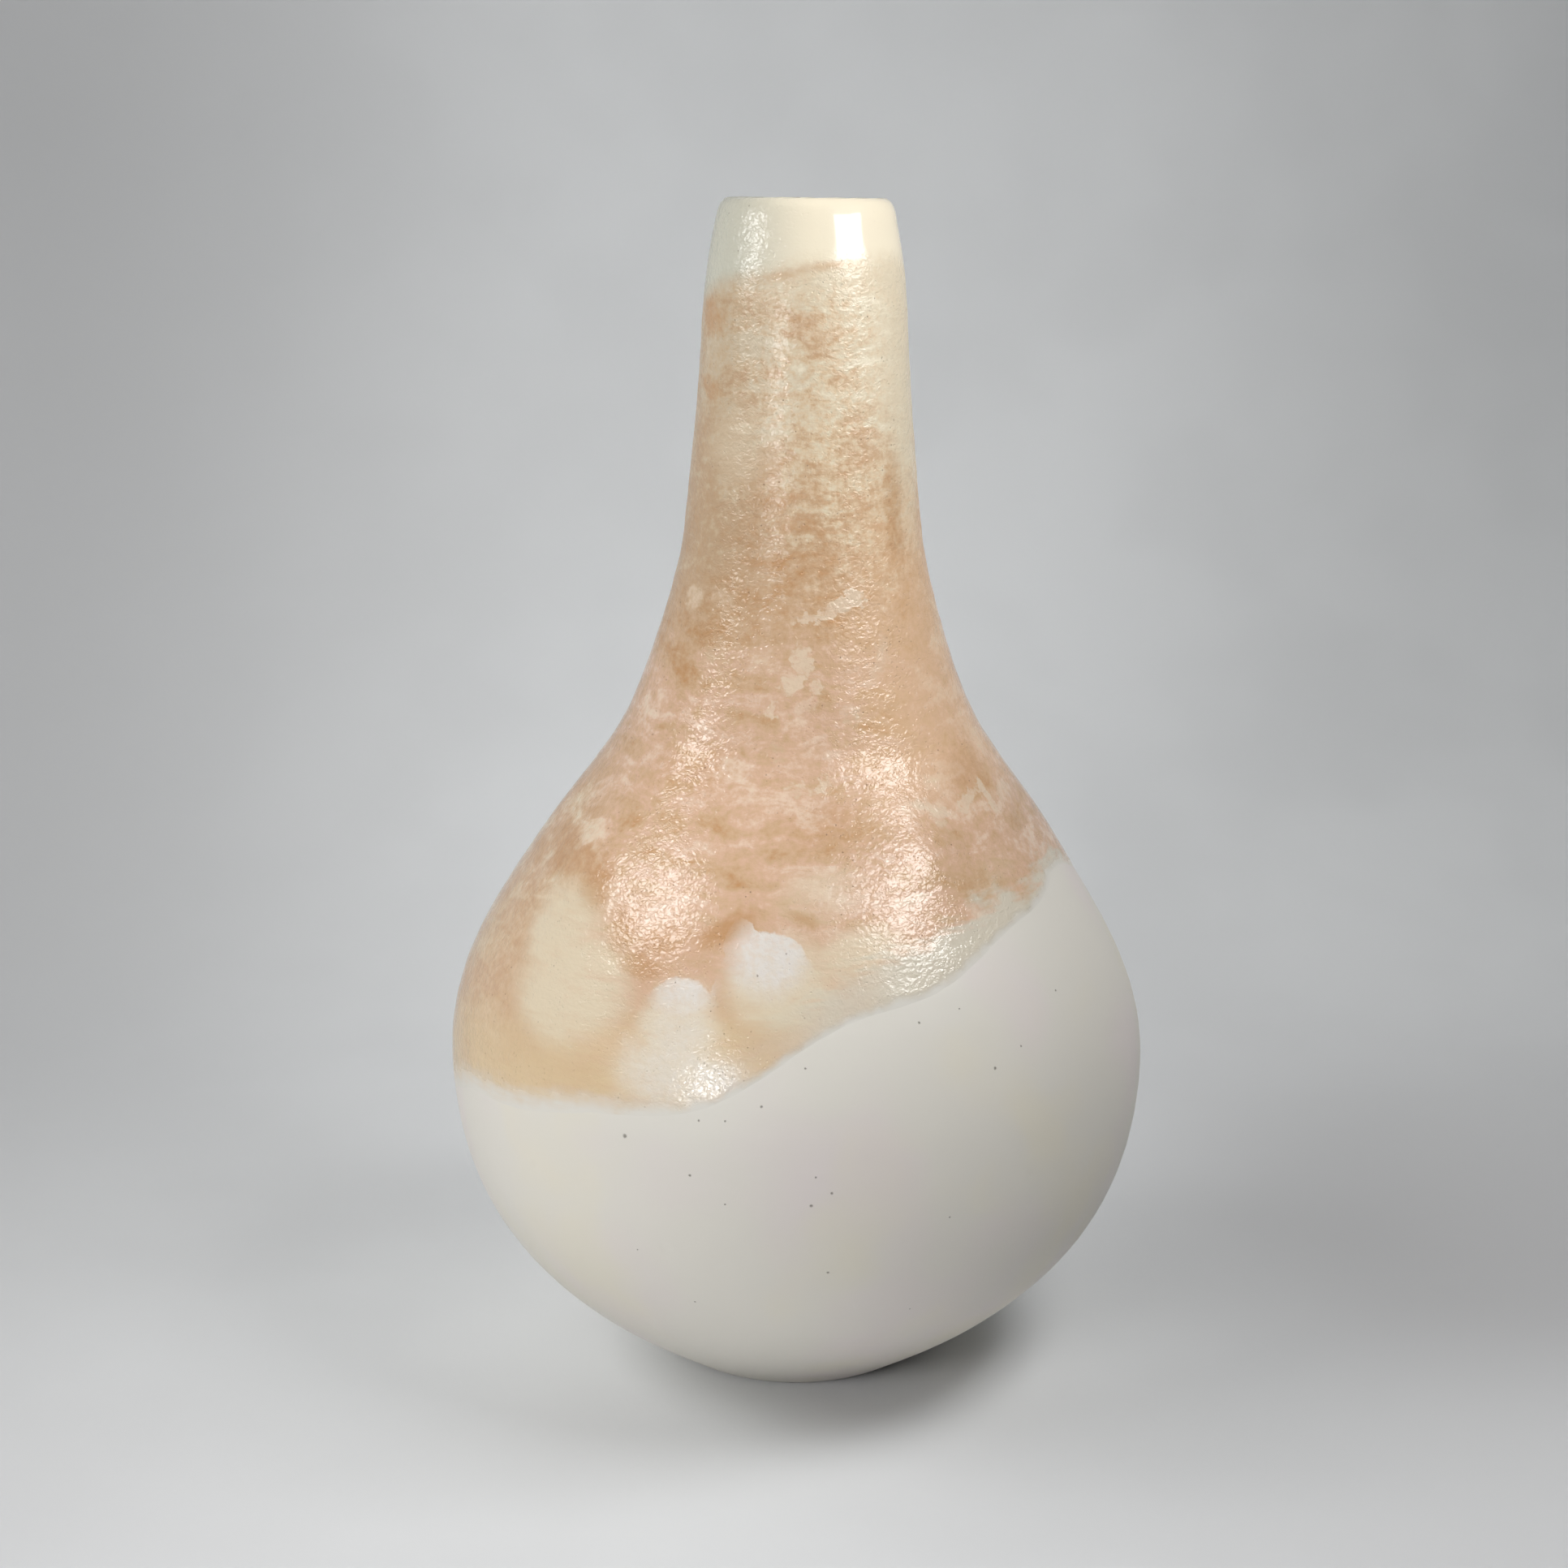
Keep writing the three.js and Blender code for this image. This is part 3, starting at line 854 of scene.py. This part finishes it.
class GlazeShader(Shader):
    """The peach glaze: the patterns that its parts share, and its tones, laid one over the other."""

    def __init__(self, wall):
        super().__init__(bpy.data.materials.new("Peach glaze"))
        self.wall = wall
        self.glaze = wall.glaze
        self.place = self.point()
        self.x, self.y, self.z = self.parts(self.place)
        self.run = self.node("ShaderNodeAttribute", {"attribute_name": "run"}, {}, "Fac")
        self.drifted = self.wandering(self.place, 12, 5)
        self.cloud = self.ripples(self.drifted, 14, 3, 0.55)
        self.marble = self.streaks((0.55, 0.55, 1.4), 6, 4, 0.62, 0.6)
        self.grain = self.ripples(self.place, 1.25, 3, 0.65)
        self.brushed = self.ripples(self.squeezed(self.place, (0.25, 0.25, 1.6)), 1.6, 3)
        self.frayed = self.ripples(self.place, 5, 3) * (6 * MM)
        self.wander = self.run + self.frayed
        self.neck = self.z.ramped(0.120, 0.145)
        self.right = (self.x + self.cloud * (30 * MM)).ramped(-0.012, 0.014)

    def streaks(self, squeeze, size, detail, roughness, distortion=0.0):
        """Ripples at the drifted points, long where the squeeze is small."""
        return self.ripples(self.squeezed(self.drifted, squeeze), size, detail, roughness, distortion)

    def across(self, waver):
        """How far a point lies towards +X, with a marbled border of that many millimetres."""
        return self.x + self.marble * (waver * MM)

    def joined(self, point, patches):
        return strongest(patch(self, point, self.wall, *values) for values in patches)

    def lay(self, share, tone):
        self.tones = self.mixed(share, self.tones, tone)

    def lay_marbling(self):
        """Little iron in the cream of the upper neck, more on the shoulder, and more on the left of
        the neck than on its right, which is partly painted shade on the left and painted light on the
        right."""
        x, z, neck, glaze = self.x, self.z, self.neck, self.glaze
        lower = 1.0 - z.ramped(0.116, 0.138)
        iron = z.ramped(0.180, 0.138, 0.36, 0.63) - lower * 0.09
        # More iron on the left of the neck and less on its right: partly the glaze's own tone, partly
        # painted shade on the left and painted light on the right.
        iron = iron + self.across(10).ramped(0.018, -0.014, -0.07, 0.06) * neck
        iron = iron - x.ramped(0.028, 0.046) * lower * 0.06
        wisps = self.streaks((0.32, 0.32, 1.0), 3.2, 3, 0.6, 0.8)
        fine = self.grain * (0.50 + neck * 0.35) + wisps * lower * 0.75
        lively = z.ramped(0.076, 0.102, 0.4, 1.0)
        iron = iron + (self.cloud * 0.55 + self.marble * 0.90 + fine) * lively
        iron = iron + self.streaks((0.35, 0.35, 1.2), 2, 3, 0.6) * neck * 0.55
        yellowish = self.ramp(
            iron, (0.08, glaze.ivory_and_light), (0.26, glaze.cream), (0.42, glaze.sand), (0.58, glaze.tan),
            (0.92, glaze.ember),
        )
        pinkish = self.ramp(
            iron, (0.10, glaze.cream), (0.34, glaze.blossom), (0.50, glaze.peach), (0.66, glaze.tan),
            (0.88, glaze.ember),
        )
        pink = z.ramped(0.150, 0.118) * x.ramped(-0.046, -0.022, 0.3, 1.0)
        pink = pink + self.cloud * 1.2 + self.marble * 0.8
        self.tones = self.mixed(pink.clipped(), yellowish, pinkish)
        # A lighter apricot over the right of the shoulder and neck: partly the glaze's colour, partly
        # painted light on that side.
        right_tone_and_light = self.across(14).ramped(0.002, 0.020) * z.ramped(0.098, 0.112)
        self.lay(right_tone_and_light * z.ramped(0.165, 0.145) * 0.50, glaze.apricot_and_light)
        # Painted shade along the left of the neck, in the dull tone.
        self.lay(self.across(10).ramped(0.003, -0.016) * neck * 0.58, glaze.neck_left_shade)
        # Ivory over the right of the upper neck: partly its paler glaze, partly painted light on that
        # side.
        self.lay(self.across(10).ramped(0.004, 0.018) * z.ramped(0.148, 0.178) * 0.55, glaze.ivory_and_light)

    def lay_spots(self):
        """Orange places with ragged borders, and small torn flecks of pale glaze."""
        ragged = self.wandering(self.drifted, 1.5, 2, 3)
        self.lay((self.joined(ragged, EMBER_PATCHES) + self.grain * 0.35).clipped(), self.glaze.ember)
        torn = self.wandering(self.drifted, 1.4, 4.6, 4)
        flecks = self.joined(torn, FLECKS) * (1.15 + self.grain * 2.4 + self.marble * 1.6)
        tone = self.mixed(0.5, self.glaze.cream, self.glaze.blossom)
        self.lay(flecks.ramped(0.22, 0.98) * 0.80, tone)

    def lay_lower_edge(self):
        """Honey where the coat thins towards the dip line on the left, broad pale places, celadon
        along the dip line on the right, and a little rust far out on the left."""
        marble, brushed, left = self.marble, self.brushed, 1.0 - self.right
        honey = (self.wander + brushed * (12 * MM)).ramped(21 * MM, 9 * MM) * left
        self.lay(honey * (0.78 + marble * 0.8 + brushed * 0.9), self.glaze.honey)
        pale = self.joined(self.drifted, PALE_PATCHES)
        pale = pale + (marble * 1.3 + self.grain * 0.5 + brushed * 1.1) * pale
        self.lay(pale.clipped() * 0.9, self.glaze.cream)
        reach = self.x.ramped(0.020, 0.048, 9 * MM, 2.4 * MM) + (marble + brushed) * (7 * MM)
        self.thick = (reach - self.wander).ramped(-2.4 * MM, 2 * MM) * self.right
        self.lay(self.thick * 0.85, self.glaze.celadon)
        rust = self.wander.ramped(4 * MM, 1.4 * MM) * left * self.x.ramped(-0.018, -0.036)
        self.lay(rust * (0.30 + self.cloud), self.glaze.ember)

    def lay_slip(self):
        """The white slip, which shows through in soft places under crisp torn tops."""
        chipped = self.wandering(self.wandering(self.place, 4, 2), 0.8, 0.9, 3)
        milk = self.joined(self.drifted, MILK_PATCHES) * self.joined(chipped, TORN_TOPS)
        self.milk = (milk + (self.marble * 1.2 + self.grain * 1.4) * milk).smaller(1.0)
        self.lay(self.milk, self.glaze.milk)

    def lay_rim(self):
        """The rim's pale band, down to its slanted line, which is rusty in the middle."""
        x, glaze = self.x, self.glaze
        lean = math.tan(glaze.rim_slant)
        slant = x * (lean * math.sin(glaze.rim_turn)) - self.y * (lean * math.cos(glaze.rim_turn))
        drift = self.ripples(self.place, 9, 3) * (3 * MM) + self.grain * (1 * MM)
        above = self.z - slant - drift - glaze.rim_band
        below = above.ramped(-9 * MM, -2 * MM) * x.ramped(-0.012, 0.004)
        self.lay(below * (0.6 + self.marble * 2.0), glaze.cream)
        line = above.ramped(-1.8 * MM, -0.5 * MM) * above.ramped(0.7 * MM, -0.4 * MM)
        middle = x.ramped(-0.011, -0.004) * x.ramped(0.011, 0.004) * self.y.ramped(0.0, -0.006)
        self.lay(line * middle * (0.5 + self.marble * 1.5), glaze.ember)
        self.rim = above.ramped(-1.8 * MM, 2.4 * MM)
        # Greener and darker on the left, warmer and lighter on the right: partly the band's own tint,
        # partly painted shade on the left and painted light on the right.
        self.lay(self.rim, self.mixed(x.ramped(-0.014, 0.002), glaze.jade_and_shade, glaze.ivory_and_light))

    def lay_bare_edge(self, body):
        """The clay, where the coat is thinnest, with a softer border far out on the left."""
        fray = self.ripples(self.place, 3.6) * (2.4 * MM) + self.frayed * 0.15
        faded = self.x.ramped(-0.012, -0.040)
        thin = self.run + fray + self.brushed * faded * (2.5 * MM)
        self.bare = thin.ramped(3 * MM + faded * (3.4 * MM), 1.2 * MM)
        self.lay(self.bare, body)

    def lay_pinholes(self):
        """A few dark points in the glaze, and the iron specks in the white slip."""
        self.chance = self.noise(self.place, 3.1, 1)
        calm = self.rim * self.x.ramped(-0.008, 0.002, 0.20, 0.92)
        self.covered = (1.0 - self.bare) * (1.0 - calm)
        holes = self.cells(self.place, 1.7).ramped(0.11, 0.05) * self.chance.ramped(0.50, 0.58)
        self.holes = holes * self.covered * (1.0 - self.thick)
        wobble = self.wandering(self.place, 0.4, 0.2)
        specks = dots(self, wobble, self.wall, GLAZE_SPECKS, SPECK_LIFT)
        self.lay((self.holes * 0.55).larger(specks * 0.9), self.glaze.pinhole)

    def relief(self):
        """Orange peel: low uneven bumps, short curved creases and small pits, calm on the rim."""
        wrinkled = self.wandering(self.place, 1.6, 1)
        flat = self.squeezed(wrinkled, (0.8, 0.8, 1.15))
        peel = self.noise(flat, 0.74, 1.8, 0.5, 0.2)
        creases = abs(self.ripples(flat, 0.9, 1.5)).ramped(0.0, 0.075)
        broken = self.noise(self.place, 2, 1).ramped(0.42, 0.56)
        swells = self.noise(self.place, 3.2, 1)
        height = peel * (0.115 + self.neck * 0.045) + creases * broken * 0.024 + swells * 0.09
        pits = self.cells(self.place, 0.85).ramped(0.26, 0.10)
        height = height - pits * self.chance.ramped(0.46, 0.60) * 0.07
        crinkles = self.noise(self.squeezed(wrinkled, (1.0, 1.0, 0.7)), 0.85)
        crinkles = crinkles * self.rim * self.x.ramped(-0.002, -0.008) * 0.17
        return height * self.covered + crinkles - self.holes * 0.05


def glaze_material(wall, clay):
    shader = GlazeShader(wall)
    shader.lay_marbling()
    shader.lay_spots()
    shader.lay_lower_edge()
    shader.lay_slip()
    shader.lay_rim()
    shader.lay_bare_edge(clay.body)
    shader.lay_pinholes()
    rough = 0.13 + shader.bare * 0.34 + shader.neck * 0.11 - shader.rim * 0.13 + shader.milk * 0.05
    return shader.finish(shader.relief(), Base_Color=shader.tones, Roughness=rough, IOR=1.5)


def clay_material(wall, clay):
    shader = Shader(bpy.data.materials.new("White stoneware"))
    point = shader.point()
    soft = shader.noise(point, 34)
    warm = shader.noise(shader.wandering(point, 20, 12), 26)
    tone = shader.mixed(soft.ramped(0.48, 0.68), clay.body, clay.blush)
    tone = shader.mixed(warm.ramped(0.50, 0.72) * 0.8, tone, clay.straw)

    wobble = shader.wandering(point, 0.5, 0.25)
    specks = dots(shader, wobble, wall, CLAY_SPECKS, 0.0)
    chance = shader.noise(point, 8, 0)
    fine = shader.cells(wobble, 9.5).ramped(0.022, 0.010) * chance.ramped(0.50, 0.56)
    tone = shader.mixed(specks.larger(fine * 0.6) * 0.70, tone, clay.speck)

    dimples = shader.cells(point, 13, "SMOOTH_F1")
    skin = shader.noise(point, 1.1, 3, 0.6)
    height = skin * 0.010 - dimples.ramped(0.12, 0.0) * 0.10 - specks * 0.08
    return shader.finish(height, Base_Color=tone, Roughness=0.46 + skin * 0.10, IOR=1.45)


def liner_material(glaze):
    shader = Shader(bpy.data.materials.new("Liner glaze"))
    point = shader.point()
    cloud = shader.noise(point, 12, 3)
    tone = shader.mixed(cloud.ramped(0.4, 0.65), glaze.celadon, glaze.cream)
    peel = shader.noise(point, 1.6)
    return shader.finish(peel * 0.06, Base_Color=tone, Roughness=0.24, IOR=1.5)


def paper_material(studio):
    """Painted shade that darkens it to the left, to the right and in front, a faint mottle, and where it
    fades into the room.
    """
    shader = Shader(bpy.data.materials.new("Paper sweep"))
    point = shader.point()
    x, y, _ = shader.parts(point)
    # Painted shade: the paper is darkened far to the left, to the right beside and behind the vase, and
    # in front.
    left = x.ramped(-0.03, -0.24)
    front = y.ramped(0.02, -0.07)
    right = x.ramped(0.0, 0.13) * y.ramped(0.26, 0.03) * (1.0 - front * 0.6)
    tone = shader.mixed(left, studio.paper, studio.paper_shade_and_mottle)
    tone = shader.mixed(right, tone, studio.paper_painted_shade)
    tone = shader.mixed(front * 0.43, tone, studio.paper_painted_shade)
    mottle = shader.noise(point, 60)
    tone = shader.mixed(mottle.ramped(0.35, 0.65) * 0.12, tone, studio.paper_shade_and_mottle)
    fibre = shader.noise(point, 0.9, 3)
    shader.finish(fibre * 0.02, Base_Color=tone, Roughness=0.85)
    far = y.ramped(-0.12, -0.42).larger(abs(x).ramped(0.30, 0.60))
    return shader.clear_to_camera(far)


# Operators

class ClayBodyOperator(bpy.types.Operator):
    """Builds the thrown clay pot, from its trimmed foot to its lip, inside and out."""

    bl_idname = "vase.clay_body"
    bl_label = "Clay body"

    def execute(self, context):
        wall = Wall(context.scene)
        material = clay_material(wall, context.scene.vase_clay)
        finished(clay_mesh(wall), "thrown_clay", material, "clay_body")
        return {"FINISHED"}


class OuterGlazeOperator(bpy.types.Operator):
    """Lays the dipped coat over the pot, from the slanted dip line over the lip."""

    bl_idname = "vase.outer_glaze"
    bl_label = "Outer glaze"

    def execute(self, context):
        wall = Wall(context.scene)
        material = glaze_material(wall, context.scene.vase_clay)
        finished(glaze_mesh(wall), "dipped_glaze", material, "outer_glaze")
        return {"FINISHED"}


class LinerGlazeOperator(bpy.types.Operator):
    """Lines the inside, from under the mouth to the middle of the floor."""

    bl_idname = "vase.liner_glaze"
    bl_label = "Liner glaze"

    def execute(self, context):
        wall = Wall(context.scene)
        material = liner_material(wall.glaze)
        finished(liner_mesh(wall), "liner_coat", material, "liner_glaze")
        return {"FINISHED"}


def soft_box(name, level, reflected, turn, rise, away, width, height, power):
    data = bpy.data.lights.new(name, "AREA")
    data.shape = "RECTANGLE"
    data.size = width
    data.size_y = height
    data.energy = power * level
    lamp = bpy.data.objects.new(name, data)
    flat = away * math.cos(math.radians(rise))
    up = away * math.sin(math.radians(rise))
    offset = on_turn(math.radians(turn), flat, up)
    aim = (-offset).to_track_quat("-Z", "Y").to_matrix().to_4x4()
    lamp.matrix_world = Matrix.Translation(offset + Vector((0.0, 0.0, LAMP_AIM))) @ aim
    lamp.visible_camera = False
    lamp.visible_diffuse = not reflected
    lamp.visible_glossy = reflected
    bpy.context.collection.objects.link(lamp)


def paper_sweep(studio):
    """A sheet that lies flat under the vase and rises behind it in one bend."""
    r = studio.sweep_radius
    profile = [(-PAPER_FRONT, 0.0), (0.0, 0.0)]
    for i in range(BEND_STEPS + 1):
        bend = math.pi / 2 * i / BEND_STEPS
        profile.append((studio.sweep_start + r * math.sin(bend), r - r * math.cos(bend)))
    profile.append((studio.sweep_start + r, PAPER_TOP))
    shape, _, edges = line_of((-PAPER_HALF_WIDTH, across, up) for across, up in profile)
    grown = bmesh.ops.extrude_edge_only(shape, edges=edges)["geom"]
    moved = [item for item in grown if isinstance(item, bmesh.types.BMVert)]
    bmesh.ops.translate(shape, verts=moved, vec=(2 * PAPER_HALF_WIDTH, 0.0, 0.0))
    bmesh.ops.recalc_face_normals(shape, faces=shape.faces[:])
    bmesh.ops.reverse_faces(shape, faces=shape.faces[:])
    smooth_object(shape, "paper_sweep", paper_material(studio))


def studio_camera(studio):
    data = bpy.data.cameras.new("studio_camera")
    data.sensor_width = SENSOR_WIDTH
    data.lens = SENSOR_WIDTH * studio.focal_pixels / PHOTO_SIDE
    data.clip_start = 0.01
    camera = bpy.data.objects.new("studio_camera", data)
    place = (studio.camera_x, -studio.camera_distance, studio.camera_height)
    tilt = Matrix.Rotation(math.pi / 2 - studio.camera_tilt, 4, "X")
    roll = Matrix.Rotation(studio.camera_roll, 4, "Z")
    camera.matrix_world = Matrix.Translation(place) @ tilt @ roll
    bpy.context.collection.objects.link(camera)
    bpy.context.scene.camera = camera


def room_light(studio):
    """An even white light, which the camera sees as the pale room."""
    world = bpy.data.worlds.new("room")
    bpy.context.scene.world = world
    shader = Shader(world)
    white = {"Color": (1.0, 1.0, 1.0, 1.0), "Strength": studio.room_level}
    even = shader.node("ShaderNodeBackground", {}, white)
    seen = shader.node("ShaderNodeBackground", {}, {"Color": linear(studio.room), "Strength": 1.0})
    camera = shader.node("ShaderNodeLightPath", {}, {}, "Is Camera Ray")
    mix = shader.node("ShaderNodeMixShader", {}, {0: camera, 1: even, 2: seen})
    shader.node("ShaderNodeOutputWorld", {}, {"Surface": mix})


class StageOperator(bpy.types.Operator):
    """Sets up the paper sweep, the camera, the room's even light and the lamps."""

    bl_idname = "vase.stage"
    bl_label = "Stage"

    def execute(self, context):
        studio = context.scene.vase_studio
        paper_sweep(studio)
        studio_camera(studio)
        room_light(studio)
        for name, values in LAMPS.items():
            soft_box(name, studio.lamp_level, False, *values)
        for name, values in REFLECTED.items():
            soft_box(name, studio.window_level, True, *values)
        context.scene.view_settings.view_transform = "Standard"
        return {"FINISHED"}


class VasePanel(bpy.types.Panel):
    """Sizes, colours and the steps that build the vase."""

    bl_idname = "VIEW3D_PT_vase"
    bl_label = "Dipped bottle vase"
    bl_space_type = "VIEW_3D"
    bl_region_type = "UI"
    bl_category = "Vase"

    def draw(self, context):
        layout = self.layout
        for operator in PIECE_OPERATORS:
            layout.operator(operator.bl_idname)
        for name in GROUPS:
            group = getattr(context.scene, name)
            box = layout.box()
            box.label(text=type(group).__doc__)
            for key in type(group).__annotations__:
                box.prop(group, key)


PIECE_OPERATORS = [ClayBodyOperator, OuterGlazeOperator, LinerGlazeOperator, StageOperator]
GROUPS = {
    "vase_outline": VaseOutline,
    "vase_glaze": VaseGlaze,
    "vase_clay": VaseClay,
    "vase_studio": VaseStudio,
}
CLASSES = [*GROUPS.values(), *PIECE_OPERATORS, VasePanel]


def register():
    for item in CLASSES:
        bpy.utils.register_class(item)
    for name, group in GROUPS.items():
        setattr(bpy.types.Scene, name, bpy.props.PointerProperty(type=group))


def unregister():
    for name in GROUPS:
        delattr(bpy.types.Scene, name)
    for item in reversed(CLASSES):
        bpy.utils.unregister_class(item)


def main():
    register()
    bpy.ops.vase.clay_body()
    bpy.ops.vase.outer_glaze()
    bpy.ops.vase.liner_glaze()
    bpy.ops.vase.stage()


if __name__ == "__main__":
    main()
